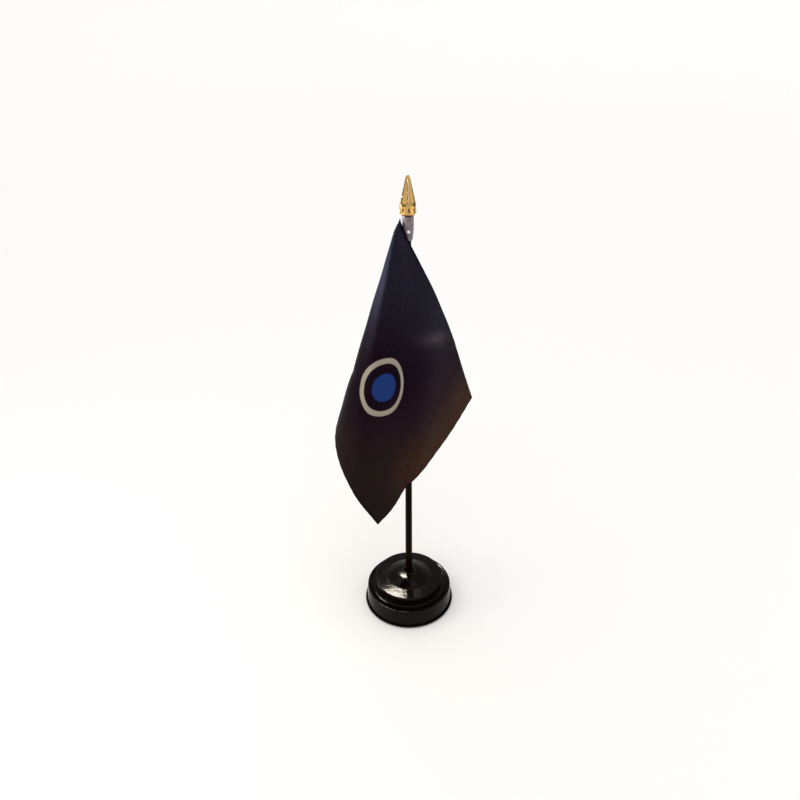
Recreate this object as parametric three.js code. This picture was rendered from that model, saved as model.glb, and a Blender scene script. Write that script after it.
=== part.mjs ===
// A small desk flag on its stand: a weighted, stepped round base, a slim tapered pole that stands in the
// base's socket, a gilt spear finial on a grey ferrule, and a satin flag that hangs limp from a pole pocket.
// Millimetres, +Z up. The origin is the centre of the base's underside, on the surface it stands on.
import * as THREE from 'three';

// Base
const FLANGE_RADIUS = 27.5;
const FLANGE_CHAMFER = 0.3;
const PAD_RADIUS = 26.6;
const PAD_TOP = 0.6;
const PLATE_BOTTOM = 0.9;
const PLATE_TOP = 2.0;
const SHELL_BOTTOM = 2.3;
const WALL = 1.8;
const DRUM_FOOT_RADIUS = 26.5;
const DRUM_RIM_RADIUS = 25.8;
const DRUM_RIM = 12.3;
const STEP_RADIUS = 20.7;
const STEP_RIM = 18.3;
const RIM_CHAMFER = 0.4;
const COVE_WIDTH = 1.4;
const COVE_DEPTH = 0.3;
const HUB_RADIUS = 13.2;
const HUB_RIM = 19.4;
const HUB_TOP = 22.4;
const HUB_COLLAR_WIDTH = 1.4;
const HUB_COLLAR_HEIGHT = 0.35;
const HUB_FOOT_WIDTH = 0.8;
const HUB_FOOT_DROP = 0.7;
// The hub's dome, as [share of the hub's radius, share of the rise from its rim to its top].
const HUB_DOME = [[0.75, 0.4], [0.5, 0.7]];
const HUB_HOLLOW = 2.2;

// The iron ring inside the base
const WEIGHT_CLEARANCE = 1.3;
const WEIGHT_SIDE_GAP = 0.8;
const WEIGHT_TOP_GAP = 0.6;
const WEIGHT_CHAMFER = 1.0;

// Socket and pole
const SOCKET_RADIUS = 2.45;
const SOCKET_WALL_RADIUS = 4.4;
const SOCKET_FLOOR = 7.7;
const POLE_FOOT = 8.0;
const POLE_TOP = 240.0;
const POLE_FOOT_RADIUS = 2.12;
const POLE_FOOT_CHAMFER = 0.4;
const POLE_TOP_RADIUS = 1.6;

// Ferrule and finial
const FERRULE_BOTTOM = 232.1;
const FERRULE_TOP = 243.9;
const FERRULE_BORE_RADIUS = 1.95;
const FERRULE_RADIUS = 2.85;
// The ferrule's mouth, as [height above its end, how much less than its radius].
const FERRULE_MOUTH = [[0, 0.6], [1.5, 0.35], [4.0, 0.12], [7.5, 0]];
const SPEAR_BOTTOM = 244.2;
const SPEAR_RADIUS = 4.08;
const SPIGOT_RADIUS = 1.6;
const SPIGOT_BOTTOM = 240.6;
// The spear's sections: [height above its underside, how much less than its radius, depth of its flutes].
const SPEAR_SECTIONS = [
  [0, 1.1, 0],
  [0.9, 0.15, 0],
  [1.3, 0, 0],
  [4.6, 0.1, 0.02],
  [6.2, 0.35, 0.1],
  [9.0, 1.05, 0.16],
  [12.0, 1.8, 0.16],
  [15.0, 2.6, 0.14],
  [17.4, 3.3, 0.08],
  [18.4, 3.78, 0],
];

// Flag: the cloth from the pocket's seam to the fly, the pocket, and the hems along the three free edges
const CLOTH_FLY = 141.0;
const CLOTH_HOIST = 101.6;
const CLOTH_THICKNESS = 0.7;
const HEM_WIDTH = 4.0;
const PIECE_GAP = 0.3;
const POCKET_BORE_RADIUS = 2.25;
const POCKET_RADIUS = 3.2;
const POCKET_OFFSET = -0.35;
const POCKET_TOP = 226.5;
const SEAM_INSET = 4.5;
const THREAD_START = 16.0;
const THREAD_END = 95.0;
const THREAD_WIDTH = 0.6;
const THREAD_STEPS = 16;
const TOP_CORNER = new THREE.Vector3(-4.8, -1.6, 242.8);

// How the flag hangs. Near the hoist it is a cone whose tip is the top corner: the cloth leaves the pole
// backwards, loops round to the left and comes across in front. These are the cone's directions, each as
// (sideways, backwards) for a drop of one, evenly spaced in the angle that they cut from the flat cloth.
const CONE_DIRECTIONS = [
  [0.004, 0.03], [-0.06, 0.18], [-0.17, 0.26], [-0.28, 0.16],
  [-0.295, 0.0], [-0.19, -0.12], [-0.055, -0.068], [0.033, -0.012],
];
const CONE_ANGLE = THREE.MathUtils.degToRad(66);
// Past that angle the cloth is a fly-side wing, which bends back round the pole and then runs straight.
const WING_START = THREE.MathUtils.degToRad(14);
const WING_END = THREE.MathUtils.degToRad(52);
const WING_BEND_LENGTH = 20.0;
const WING_DROOP = 0.085;
const POLE_CLEARANCE = 4.5;
const CLEARANCE_FROM = THREE.MathUtils.degToRad(40);

const finish = (color, roughness, metalness) =>
  new THREE.MeshStandardMaterial({ color, roughness, metalness });
const BLACK_PLASTIC = finish(0x17120f, 0.22, 0);
const POLE_PLASTIC = finish(0x1c120c, 0.35, 0);
const IRON = finish(0x4a4a4c, 0.7, 1);
const FELT = finish(0x1a1a1c, 0.95, 0);
const GREY_METAL = finish(0x8a8084, 0.45, 1);
const GILT = finish(0xc8a35a, 0.3, 1);
const SATIN = finish(0x14161f, 0.5, 0);
const THREAD = finish(0x20222c, 0.8, 0);

const stand = new THREE.Group();
const flag = new THREE.Group();
stand.add(flag);

function addPiece(group, name, geometry, material) {
  const mesh = new THREE.Mesh(geometry, material);
  mesh.name = name;
  group.add(mesh);
}

// A solid of revolution about +Z from [radius, height] pairs that run from the axis, or round a closed ring.
function turned(profile, segments = 64) {
  const points = profile.map(([radius, height]) => new THREE.Vector2(radius, height));
  return new THREE.LatheGeometry(points, segments).rotateX(Math.PI / 2);
}

// A closed solid from a grid of points: rows of equal length, the last point of a row joined to its first
// when the rows are rings, with both ends closed by a fan about their middles.
function ringSolid(rings) {
  const count = rings[0].length;
  const middle = (ring) => ring.reduce((sum, p) => sum.add(p), new THREE.Vector3()).divideScalar(count);
  const points = [...rings.flat(), middle(rings[0]), middle(rings.at(-1))];
  const bottom = points.length - 2;
  const top = points.length - 1;
  const index = [];
  for (let i = 0; i < count; i += 1) {
    const next = (i + 1) % count;
    for (let ring = 0; ring + 1 < rings.length; ring += 1) {
      const low = ring * count;
      const high = low + count;
      index.push(low + i, low + next, high + next, low + i, high + next, high + i);
    }
    const last = (rings.length - 1) * count;
    index.push(bottom, next, i, top, last + i, last + next);
  }
  return new THREE.BufferGeometry().setFromPoints(points).setIndex(index);
}

// Base: a hollow stepped shell with the pole's socket moulded in it, over an iron ring and a closing plate.
function shellProfile() {
  const underDrum = DRUM_RIM - WALL;
  const underStep = STEP_RIM - WALL;
  const collarFoot = HUB_TOP - HUB_COLLAR_HEIGHT;
  return [
    [0, SOCKET_FLOOR - WALL],
    [SOCKET_WALL_RADIUS, SOCKET_FLOOR - WALL],
    [SOCKET_WALL_RADIUS, underStep + HUB_HOLLOW],
    [HUB_RADIUS - WALL, underStep + HUB_FOOT_DROP],
    [STEP_RADIUS - WALL, underStep],
    [STEP_RADIUS - WALL, underDrum],
    [DRUM_RIM_RADIUS - WALL, underDrum],
    [DRUM_FOOT_RADIUS - WALL, SHELL_BOTTOM],
    [DRUM_FOOT_RADIUS, SHELL_BOTTOM],
    [DRUM_RIM_RADIUS, DRUM_RIM - RIM_CHAMFER],
    [DRUM_RIM_RADIUS - RIM_CHAMFER, DRUM_RIM],
    [STEP_RADIUS + COVE_WIDTH, DRUM_RIM - COVE_DEPTH],
    [STEP_RADIUS, DRUM_RIM],
    [STEP_RADIUS, STEP_RIM - RIM_CHAMFER],
    [STEP_RADIUS - RIM_CHAMFER, STEP_RIM],
    [HUB_RADIUS + HUB_FOOT_WIDTH, HUB_RIM - HUB_FOOT_DROP],
    [HUB_RADIUS, HUB_RIM - RIM_CHAMFER],
    [HUB_RADIUS - RIM_CHAMFER, HUB_RIM],
    ...HUB_DOME.map(([across, up]) => [HUB_RADIUS * across, HUB_RIM + (HUB_TOP - HUB_RIM) * up]),
    [SOCKET_RADIUS + HUB_COLLAR_WIDTH, collarFoot],
    [SOCKET_RADIUS + HUB_COLLAR_WIDTH - HUB_COLLAR_HEIGHT, HUB_TOP],
    [SOCKET_RADIUS, HUB_TOP],
    [SOCKET_RADIUS, SOCKET_FLOOR],
    [0, SOCKET_FLOOR],
  ];
}

function addBase() {
  addPiece(stand, 'base_shell', turned(shellProfile()), BLACK_PLASTIC);
  const weightInner = SOCKET_WALL_RADIUS + WEIGHT_CLEARANCE;
  const weightOuter = DRUM_RIM_RADIUS - WALL - WEIGHT_SIDE_GAP;
  const weightTop = DRUM_RIM - WALL - WEIGHT_TOP_GAP;
  const weight = [
    [weightInner, SHELL_BOTTOM],
    [weightOuter, SHELL_BOTTOM],
    [weightOuter, weightTop - WEIGHT_CHAMFER],
    [weightOuter - WEIGHT_CHAMFER, weightTop],
    [weightInner, weightTop],
    [weightInner, SHELL_BOTTOM],
  ];
  addPiece(stand, 'base_weight', turned(weight, 48), IRON);
  const plate = [
    [0, PLATE_BOTTOM],
    [FLANGE_RADIUS - FLANGE_CHAMFER, PLATE_BOTTOM],
    [FLANGE_RADIUS, PLATE_BOTTOM + FLANGE_CHAMFER],
    [FLANGE_RADIUS, PLATE_TOP - FLANGE_CHAMFER],
    [FLANGE_RADIUS - FLANGE_CHAMFER, PLATE_TOP],
    [0, PLATE_TOP],
  ];
  addPiece(stand, 'base_plate', turned(plate), BLACK_PLASTIC);
  const pad = [[0, 0], [PAD_RADIUS, 0], [PAD_RADIUS, PAD_TOP], [0, PAD_TOP]];
  addPiece(stand, 'base_pad', turned(pad), FELT);
}

// Pole: a tapered rod with a chamfered foot.
function addPole() {
  const pole = [
    [0, POLE_FOOT],
    [POLE_FOOT_RADIUS - POLE_FOOT_CHAMFER, POLE_FOOT],
    [POLE_FOOT_RADIUS, POLE_FOOT + POLE_FOOT_CHAMFER],
    [POLE_TOP_RADIUS, POLE_TOP],
    [0, POLE_TOP],
  ];
  addPiece(stand, 'pole', turned(pole, 24), POLE_PLASTIC);
}

// Finial: the ferrule's mouth narrows to the pole, and the spear's spigot stands in its upper end.
function addFinial() {
  const ferrule = [
    [FERRULE_BORE_RADIUS, FERRULE_BOTTOM],
    ...FERRULE_MOUTH.map(([height, less]) => [FERRULE_RADIUS - less, FERRULE_BOTTOM + height]),
    [FERRULE_RADIUS, FERRULE_TOP],
    [FERRULE_BORE_RADIUS, FERRULE_TOP],
    [FERRULE_BORE_RADIUS, FERRULE_BOTTOM],
  ];
  addPiece(stand, 'finial_ferrule', turned(ferrule, 32), GREY_METAL);
  addPiece(stand, 'finial_spear', ringSolid(spearRings()), GILT);
}

// The spigot's two rings, then the spear's. The flutes leave four ribs, on the X and Y axes.
function spearRings() {
  const sides = 32;
  const ring = (height, radius, flute) => {
    const points = [];
    for (let i = 0; i < sides; i += 1) {
      const angle = (i / sides) * 2 * Math.PI;
      const reach = radius * (1 - flute * Math.sin(2 * angle) ** 2);
      points.push(new THREE.Vector3(reach * Math.cos(angle), reach * Math.sin(angle), height));
    }
    return points;
  };
  return [
    ring(SPIGOT_BOTTOM, SPIGOT_RADIUS, 0),
    ring(SPEAR_BOTTOM, SPIGOT_RADIUS, 0),
    ...SPEAR_SECTIONS.map(([height, less, flute]) => ring(SPEAR_BOTTOM + height, SPEAR_RADIUS - less, flute)),
  ];
}

// Flag: where a point of the flat cloth hangs, given its distances from the hoist and from the top edge.
const cone = new THREE.CatmullRomCurve3(
  CONE_DIRECTIONS.map(([sideways, backwards]) => new THREE.Vector3(sideways, backwards, -1)),
  false,
  'catmullrom',
);

function wingOffset(distance) {
  const steps = 24;
  const step = distance / steps;
  const offset = new THREE.Vector3();
  for (let i = 0; i < steps; i += 1) {
    const turn = THREE.MathUtils.smoothstep((i + 0.5) * step, 0, WING_BEND_LENGTH);
    const heading = THREE.MathUtils.lerp(WING_START, WING_END, turn);
    offset.x += step * Math.cos(heading);
    offset.y += step * Math.sin(heading);
  }
  return offset;
}

function inFrontOfPole(point) {
  const front = point.x ** 2 / (2 * POLE_CLEARANCE) - POLE_CLEARANCE;
  const blend = Math.log1p(Math.exp(-2 * Math.abs(point.y - front))) / 2;
  point.y = Math.min(point.y, front) - blend;
}

function hang(fromHoist, fromTop) {
  const reach = Math.hypot(fromHoist, fromTop);
  const angle = Math.atan2(fromHoist, fromTop);
  const past = Math.max(angle - CONE_ANGLE, 0);
  const droop = 1 - (WING_DROOP * past) / (Math.PI / 2 - CONE_ANGLE);
  const point = cone.getPoint(Math.min(angle / CONE_ANGLE, 1)).normalize();
  point.multiplyScalar(reach * Math.cos(past) * droop);
  point.add(TOP_CORNER);
  point.add(wingOffset(reach * Math.sin(past)));
  if (angle > CLEARANCE_FROM) {
    inFrontOfPole(point);
  }
  return point;
}

function clothNormal(fromHoist, fromTop) {
  const reach = 0.5;
  const along = hang(fromHoist + reach, fromTop).sub(hang(Math.max(fromHoist - reach, 0), fromTop));
  const down = hang(fromHoist, fromTop + reach).sub(hang(fromHoist, Math.max(fromTop - reach, 0)));
  return along.cross(down).normalize();
}

// A rectangle of cloth as a closed solid: rings round the section, one ring for each place along the fly.
function clothSolid(hoist, fly, top, bottom, columns, rows) {
  const rings = [];
  for (let i = 0; i <= columns; i += 1) {
    const fromHoist = THREE.MathUtils.lerp(hoist, fly, i / columns);
    const front = [];
    const back = [];
    for (let j = 0; j <= rows; j += 1) {
      const fromTop = THREE.MathUtils.lerp(top, bottom, j / rows);
      const normal = clothNormal(fromHoist, fromTop).multiplyScalar(CLOTH_THICKNESS / 2);
      front.push(hang(fromHoist, fromTop).sub(normal));
      back.unshift(hang(fromHoist, fromTop).add(normal));
    }
    rings.push([...front, ...back]);
  }
  return closedStrip(rings);
}

// As ringSolid, but each end is closed by a ladder between the ring's front and back halves.
function closedStrip(rings) {
  const count = rings[0].length;
  const index = [];
  for (let ring = 0; ring + 1 < rings.length; ring += 1) {
    for (let i = 0; i < count; i += 1) {
      const low = ring * count;
      const high = low + count;
      const next = (i + 1) % count;
      index.push(low + i, low + next, high + next, low + i, high + next, high + i);
    }
  }
  const last = (rings.length - 1) * count;
  for (let i = 0; i + 1 < count / 2; i += 1) {
    const across = count - 1 - i;
    index.push(i, across - 1, i + 1, i, across, across - 1);
    index.push(last + i, last + i + 1, last + across - 1, last + i, last + across - 1, last + across);
  }
  return new THREE.BufferGeometry().setFromPoints(rings.flat()).setIndex(index);
}

function addCloth() {
  const inner = HEM_WIDTH + PIECE_GAP;
  const flyEdge = CLOTH_FLY - inner;
  const bottomEdge = CLOTH_HOIST - inner;
  const cloth = clothSolid(0, flyEdge, inner, bottomEdge, 30, 22);
  addPiece(flag, 'flag_cloth', cloth, SATIN);
  addPiece(flag, 'flag_top_hem', clothSolid(0, CLOTH_FLY, 0, HEM_WIDTH, 30, 2), SATIN);
  const bottomHem = clothSolid(0, CLOTH_FLY, CLOTH_HOIST - HEM_WIDTH, CLOTH_HOIST, 30, 2);
  addPiece(flag, 'flag_bottom_hem', bottomHem, SATIN);
  const flyHem = clothSolid(CLOTH_FLY - HEM_WIDTH, CLOTH_FLY, inner, bottomEdge, 2, 22);
  addPiece(flag, 'flag_fly_hem', flyHem, SATIN);
}

// The pocket is a tube of cloth round the pole, thicker on the side where it is sewn to the flag.
function addPocket() {
  const section = new THREE.Shape().absarc(POCKET_OFFSET, 0, POCKET_RADIUS, 0, 2 * Math.PI);
  section.holes.push(new THREE.Path().absarc(0, 0, POCKET_BORE_RADIUS, 0, 2 * Math.PI, true));
  const pocketBottom = TOP_CORNER.z - CLOTH_HOIST;
  const depth = POCKET_TOP - pocketBottom;
  const pocket = new THREE.ExtrudeGeometry(section, { depth, bevelEnabled: false, curveSegments: 24 });
  addPiece(flag, 'flag_sleeve', pocket.translate(0, 0, pocketBottom), SATIN);
}

// The thread that closes the pocket, on the side of the cloth that faces the pole.
function threadRing(fromTop) {
  const along = hang(SEAM_INSET, fromTop + 1).sub(hang(SEAM_INSET, fromTop - 1)).normalize();
  const out = clothNormal(SEAM_INSET, fromTop);
  const side = new THREE.Vector3().crossVectors(along, out).normalize();
  const lift = CLOTH_THICKNESS / 2 + PIECE_GAP + THREAD_WIDTH / 2;
  const middle = hang(SEAM_INSET, fromTop).addScaledVector(out, -lift);
  return [[1, 1], [-1, 1], [-1, -1], [1, -1]].map(([outwards, sideways]) => middle.clone()
    .addScaledVector(out, (outwards * THREAD_WIDTH) / 2)
    .addScaledVector(side, (sideways * THREAD_WIDTH) / 2));
}

function addThread() {
  const rings = [];
  for (let i = 0; i <= THREAD_STEPS; i += 1) {
    rings.push(threadRing(THREE.MathUtils.lerp(THREAD_START, THREAD_END, i / THREAD_STEPS)));
  }
  addPiece(flag, 'sleeve_seam_thread', ringSolid(rings), THREAD);
}

addBase();
addPole();
addFinial();
addCloth();
addPocket();
addThread();

export default stand;
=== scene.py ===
"""The looks of a small desk flag: a stepped gloss-black base, a slim pole, a gilt spear and a satin flag.

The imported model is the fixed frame. The classes below hold one sub-assembly each: Base, Staff, Flag and
Studio. Lengths are in metres, +Z is up, and the flag's printed face looks along -Y.
"""

import logging
import math
from dataclasses import dataclass
from enum import Enum
from functools import partial, partialmethod
from typing import Callable, Iterable, Sequence

import bmesh
import bpy
import numpy as np
from mathutils import Matrix, Vector


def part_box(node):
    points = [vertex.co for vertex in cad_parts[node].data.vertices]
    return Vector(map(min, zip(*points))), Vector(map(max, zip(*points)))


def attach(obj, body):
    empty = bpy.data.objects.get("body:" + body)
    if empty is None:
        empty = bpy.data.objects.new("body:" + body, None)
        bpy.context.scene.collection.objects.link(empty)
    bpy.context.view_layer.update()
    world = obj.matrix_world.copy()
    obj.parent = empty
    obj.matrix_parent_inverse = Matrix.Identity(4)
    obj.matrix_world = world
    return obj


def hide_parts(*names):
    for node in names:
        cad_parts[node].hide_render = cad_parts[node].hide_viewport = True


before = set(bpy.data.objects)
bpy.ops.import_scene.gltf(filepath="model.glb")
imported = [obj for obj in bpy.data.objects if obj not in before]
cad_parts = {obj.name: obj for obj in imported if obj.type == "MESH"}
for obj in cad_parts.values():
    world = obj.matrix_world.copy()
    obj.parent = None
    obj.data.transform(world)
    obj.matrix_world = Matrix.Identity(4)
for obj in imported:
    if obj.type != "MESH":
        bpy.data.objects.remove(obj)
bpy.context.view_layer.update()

log = logging.getLogger("desk_flag")
MM = 0.001
Colour = tuple[float, float, float]
Span = tuple[float, float]
Profile = Sequence[tuple[float, float]]


class Body(Enum):
    """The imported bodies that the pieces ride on."""

    BASE = "base"
    STAFF = "staff"
    FLAG = "flag"


class Face(Enum):
    """The two sides of the cloth, as the sign of the step off it along its normal."""

    PRINTED = -1.0
    REVERSE = 1.0


# The flat cloth in millimetres: from the pocket's seam to the fly, and from the top edge to the bottom.
FLY = 141.0
HOIST = 101.6
# Where its zones of colour start and are complete: (start, end), in millimetres of flat cloth.
DARK_ZONE = (20.0, 75.0)
PLUM_ZONE = (72.0, 108.0)
# The warm zone and the fly edge's zones below are painted warm light.
WARM_ZONE = (98.0, 150.0)
WARM_LIGHT_ALONG = (100.0, 139.0)
WARM_LIGHT_DOWN = (40.0, 98.0)
EDGE_ZONE = (0.3, 1.3)
# The print, in millimetres of flat cloth.
DEVICE_MIDDLE = (70.5, 50.8)
RING_RADIUS = 15.0
RING_HALF_WIDTH = 1.5
DISC_RADIUS = 8.0
# The painted sheen along the crease by the top edge: its middle, its direction, and how fast it fades.
PAINTED_SHEEN_MIDDLE = (71.5, 10.0)
PAINTED_SHEEN_SLANT = (0.81, -0.59)
PAINTED_SHEEN_ACROSS = -0.08
PAINTED_SHEEN_ALONG = -0.008
# Fold lines on the flat cloth, in millimetres: (start, end, height, width).
CREASES = (
    ((60.0, 23.0), (90.0, 1.0), -0.75, 2.6),
    ((77.0, 66.0), (92.0, 97.0), -0.55, 3.0),
    ((18.0, 96.0), (64.0, 60.0), 0.45, 3.0),
    ((104.0, 3.0), (118.0, 60.0), 0.35, 3.2),
)


# ---- shaders ----


class Socket:
    """A shader output that takes part in Python arithmetic, each operation adding one Math node."""

    def __init__(self, shader: "Shader", link: bpy.types.NodeSocket) -> None:
        """Wraps an output of one of the shader's nodes."""
        self.shader = shader
        self.link = link

    def math(self, operation: str, *others: "Socket | float") -> "Socket":
        """Adds a Math node with this socket as its first value and gives its output."""
        return self.shader.math(operation, self, *others)

    __add__ = __radd__ = partialmethod(math, "ADD")
    __sub__ = partialmethod(math, "SUBTRACT")
    __mul__ = __rmul__ = partialmethod(math, "MULTIPLY")
    __truediv__ = partialmethod(math, "DIVIDE")
    __abs__ = partialmethod(math, "ABSOLUTE")
    sine = partialmethod(math, "SINE")
    larger = partialmethod(math, "MAXIMUM")
    smaller = partialmethod(math, "MINIMUM")

    def __rsub__(self, other: float) -> "Socket":
        """Subtracts this from a number."""
        return self.shader.math("SUBTRACT", other, self)

    def ramp(self, low: float, high: float, bottom: float = 0.0, top: float = 1.0) -> "Socket":
        """Maps low..high smoothly to bottom..top, clamped.

        Args:
            low: the value that gives bottom.
            high: the value that gives top.
            bottom: the result at low and before it.
            top: the result at high and past it.

        Returns:
            The mapped value.
        """
        made = self.shader.node(
            "ShaderNodeMapRange",
            {"interpolation_type": "SMOOTHSTEP"},
            {"Value": self, "From Min": low, "From Max": high, "To Min": bottom, "To Max": top},
        )
        return Socket(self.shader, made.outputs["Result"])


class Shader:
    """A material's node tree with one Principled shader, and the calls that add nodes to it."""

    def __init__(self, name: str) -> None:
        """Starts a material of that name."""
        self.material = bpy.data.materials.new(name)
        self.material.use_nodes = True
        self.tree = self.material.node_tree
        self.surface = self.tree.nodes["Principled BSDF"]

    def node(self, kind: str, settings: dict, values: dict) -> bpy.types.Node:
        """Adds a node.

        Args:
            kind: the node's type.
            settings: its properties, set first.
            values: its input sockets by name or place, each a number, a vector or a link.

        Returns:
            The node.
        """
        made = self.tree.nodes.new(kind)
        for key, value in settings.items():
            setattr(made, key, value)
        for key, value in values.items():
            if isinstance(value, Socket):
                self.tree.links.new(value.link, made.inputs[key])
            else:
                made.inputs[key].default_value = value
        return made

    def math(self, operation: str, *values: "Socket | float") -> Socket:
        """Adds a Math node with the values as its inputs and gives its output."""
        made = self.node("ShaderNodeMath", {"operation": operation}, dict(enumerate(values)))
        return Socket(self, made.outputs[0])

    def place(self, scale: Sequence[float] = (1.0, 1.0, 1.0)) -> Socket:
        """Gives the object's own coordinates, scaled along each axis."""
        source = self.node("ShaderNodeTexCoord", {}, {}).outputs["Object"]
        scaled = self.node("ShaderNodeMapping", {}, {"Vector": Socket(self, source), "Scale": scale})
        return Socket(self, scaled.outputs["Vector"])

    def parts(self, vector: Socket) -> tuple[Socket, Socket, Socket]:
        """Splits a vector into its three numbers."""
        made = self.node("ShaderNodeSeparateXYZ", {}, {"Vector": vector})
        return tuple(Socket(self, output) for output in made.outputs)

    def flat_cloth(self) -> tuple[Socket, Socket]:
        """Gives the distance from the hoist and from the top edge, in millimetres, from the UV map."""
        source = self.node("ShaderNodeTexCoord", {}, {}).outputs["UV"]
        along, down, _ = self.parts(Socket(self, source))
        return along, down

    def noise(self, vector: Socket, scale: float, detail: float = 3.0, roughness: float = 0.55) -> Socket:
        """Adds noise.

        Args:
            vector: where it is read.
            scale: lumps per unit.
            detail: octaves.
            roughness: how strong the finer octaves are.

        Returns:
            The noise's value, about 0.5 on average.
        """
        made = self.node(
            "ShaderNodeTexNoise",
            {},
            {"Vector": vector, "Scale": scale, "Detail": detail, "Roughness": roughness},
        )
        return Socket(self, made.outputs["Fac"])

    def mix(self, mask: Socket, low: "Socket | Colour", high: "Socket | Colour") -> Socket:
        """Mixes two colours.

        Args:
            mask: 0 gives low, 1 gives high.
            low: a colour or a link.
            high: a colour or a link.

        Returns:
            The mixed colour.
        """
        made = self.tree.nodes.new("ShaderNodeMix")
        made.data_type = "RGBA"
        self.tree.links.new(mask.link, made.inputs[0])
        for socket, colour in ((made.inputs[6], low), (made.inputs[7], high)):
            if isinstance(colour, Socket):
                self.tree.links.new(colour.link, socket)
            else:
                socket.default_value = (*colour, 1.0)
        return Socket(self, made.outputs[2])

    def bump(self, height: Socket, depth: float) -> None:
        """Feeds a height, in units of depth metres, to the surface's normal."""
        made = self.node("ShaderNodeBump", {}, {"Height": height, "Distance": depth, "Strength": 1.0})
        self.tree.links.new(made.outputs["Normal"], self.surface.inputs["Normal"])

    def set(self, **values: "Socket | float | Colour") -> None:
        """Sets the Principled shader's sockets, named with _ for a space."""
        for key, value in values.items():
            socket = self.surface.inputs[key.replace("_", " ")]
            if isinstance(value, Socket):
                self.tree.links.new(value.link, socket)
            elif isinstance(value, tuple):
                socket.default_value = (*value, 1.0)
            else:
                socket.default_value = value


class Finish:
    """What a piece wears: a named material, and a slot name that nothing reads."""

    name: str
    slot: str

    def make(self) -> bpy.types.Material:
        """Builds the material."""
        shader = Shader(self.name)
        self.dress(shader, shader.place())
        return shader.material

    def dress(self, shader: Shader, place: Socket) -> None:
        """Adds the finish's own nodes, which read the object's coordinates from place."""
        raise NotImplementedError


@dataclass(frozen=True)
class MouldedPlastic(Finish):
    """Hard gloss plastic, with faint flow marks, fingermarks and a little dust."""

    name: str
    slot: str
    colour: Colour
    dust: Colour
    smooth: float
    wear_and_highlight: float
    shine: float

    def dress(self, shader: Shader, place: Socket) -> None:
        """Adds its nodes."""
        flow = shader.noise(place, 55.0, 4.0)
        smears = shader.noise(shader.place((1.0, 1.0, 2.5)), 140.0, 5.0, 0.6).ramp(0.45, 0.75)
        specks = shader.noise(place, 2600.0, 1.0).ramp(0.74, 0.8)
        colour = shader.mix(flow.ramp(0.3, 0.7), self.colour, tuple(1.35 * c for c in self.colour))
        shader.set(
            Base_Color=shader.mix(specks * 0.35, colour, self.dust),
            Roughness=smears * (self.wear_and_highlight - self.smooth) + self.smooth + specks * 0.2,
            Specular_IOR_Level=self.shine,
        )
        shader.bump(shader.noise(place, 420.0, 2.0) + shader.noise(place, 2200.0, 1.0) * 0.15, 0.00003)


@dataclass(frozen=True)
class Metallised(Finish):
    """A thin bright metal film on plastic, duller where it has been handled."""

    name: str
    slot: str
    colour: Colour
    dull: Colour
    smooth: float
    wear_and_highlight: float
    bare_above: float = math.inf
    metal: float = 1.0
    recess: bool = False
    # The colour of the highlight painted on the ribs.
    painted_highlight: Colour = (0.80, 0.60, 0.48)
    # The colour of the shade painted in the grooves and dimples.
    painted_recess_shade: Colour = (0.040, 0.018, 0.006)
    bare: Colour = (0.012, 0.010, 0.009)

    def dress(self, shader: Shader, place: Socket) -> None:
        """Adds its nodes. Above bare_above the film has been abraded away to the black plastic. Where recess
        is set, a highlight is painted on the ribs and shade is painted in the grooves and dimples.
        """
        tarnish = shader.noise(place, 330.0, 5.0, 0.65).ramp(0.4, 0.72)
        streaks = shader.noise(shader.place((1.0, 1.0, 0.12)), 1500.0, 2.0)
        colour = shader.mix(tarnish, self.colour, self.dull)
        film = self.metal
        if self.recess:
            source = shader.node("ShaderNodeAttribute", {"attribute_name": "recess"}, {}).outputs["Fac"]
            depth = Socket(shader, source)
            # A painted highlight on the ribs, where recess is below 0.
            colour = shader.mix(depth.ramp(-1.0, -0.1, 1.0, 0.0), colour, self.painted_highlight)
            # Painted shade in the grooves, the dimples and the facets' lower lips.
            colour = shader.mix(depth.ramp(0.0, 1.0, 0.0, 0.92), colour, self.painted_recess_shade)
        if self.bare_above < math.inf:
            height = shader.parts(place)[2] + (streaks - 0.5) * 0.0004
            gone = height.ramp(self.bare_above, self.bare_above + 0.0003)
            colour = shader.mix(gone, colour, self.bare)
            film = (1.0 - gone) * self.metal
        shader.set(
            Base_Color=colour,
            Metallic=film,
            Roughness=tarnish * (self.wear_and_highlight - self.smooth) + self.smooth + (streaks - 0.5) * 0.08,
        )
        shader.bump(streaks + shader.noise(place, 900.0, 3.0) * 0.6, 0.00002)


@dataclass(frozen=True)
class CastIron(Finish):
    """Rough grey cast iron for the hidden weight."""

    name: str = "cast iron"
    slot: str = "iron"

    def dress(self, shader: Shader, place: Socket) -> None:
        """Adds its nodes."""
        grain = shader.noise(place, 700.0, 6.0, 0.7)
        rust_and_warm_light = shader.noise(place, 90.0, 5.0).ramp(0.55, 0.8)
        shader.set(
            Base_Color=shader.mix(rust_and_warm_light, (0.09, 0.09, 0.095), (0.12, 0.055, 0.03)),
            Metallic=1.0 - rust_and_warm_light,
            Roughness=grain * 0.3 + 0.5,
        )
        shader.bump(grain, 0.0004)


@dataclass(frozen=True)
class PressedFelt(Finish):
    """Black pressed felt: short fibres lying every way."""

    name: str = "pressed felt"
    slot: str = "felt"

    def dress(self, shader: Shader, place: Socket) -> None:
        """Adds its nodes."""
        fibres = shader.noise(shader.place((1.0, 6.0, 1.0)), 1100.0, 4.0, 0.7)
        across = shader.noise(shader.place((6.0, 1.0, 1.0)), 1100.0, 4.0, 0.7)
        lint = shader.noise(place, 1900.0, 2.0).ramp(0.68, 0.8)
        shader.set(
            Base_Color=shader.mix(lint, (0.012, 0.012, 0.014), (0.06, 0.06, 0.065)),
            Roughness=0.95,
            Sheen_Weight=0.4,
            Specular_IOR_Level=0.2,
        )
        shader.bump(fibres.larger(across), 0.0003)


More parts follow.
